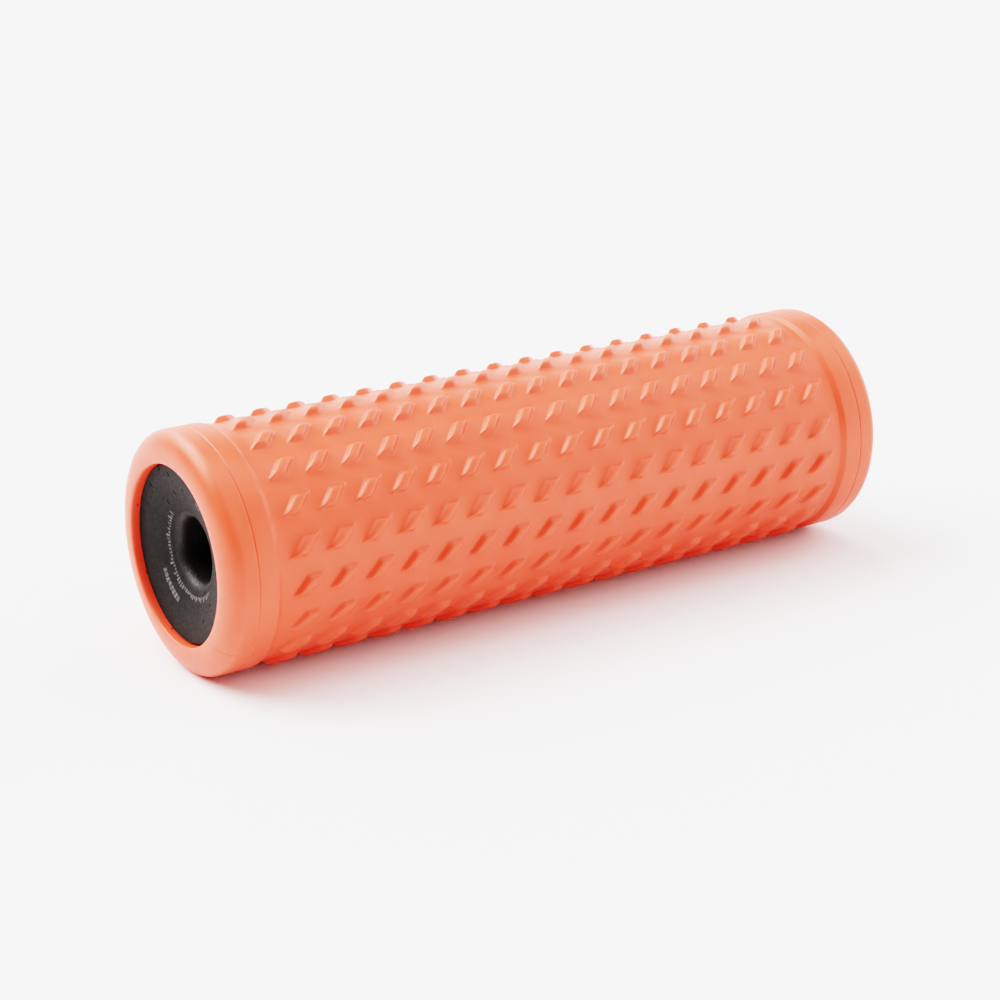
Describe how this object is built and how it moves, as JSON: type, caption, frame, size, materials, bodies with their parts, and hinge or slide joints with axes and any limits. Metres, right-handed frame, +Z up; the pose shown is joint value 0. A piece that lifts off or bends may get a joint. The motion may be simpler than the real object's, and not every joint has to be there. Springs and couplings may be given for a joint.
{
  "type": "foam roller",
  "caption": "Hollow foam roller: a soft sleeve with slanted raised massage bumps over a black bead-foam core with a through bore.",
  "frame": {"origin": "bottom centre of the roller lying on its side: on the floor, under the middle of its length", "axes": "+X along the roller's axis, +Z up, with one row of bumps straight up"},
  "size_m": [0.45, 0.14, 0.1395],
  "materials": {
    "sleeve_foam": "satin moulded foam skin",
    "core_foam": "matte moulded bead foam"
  },
  "bodies": {
    "root": {"sleeve": "sleeve_foam", "core": "core_foam"}
  },
  "joints": []
}
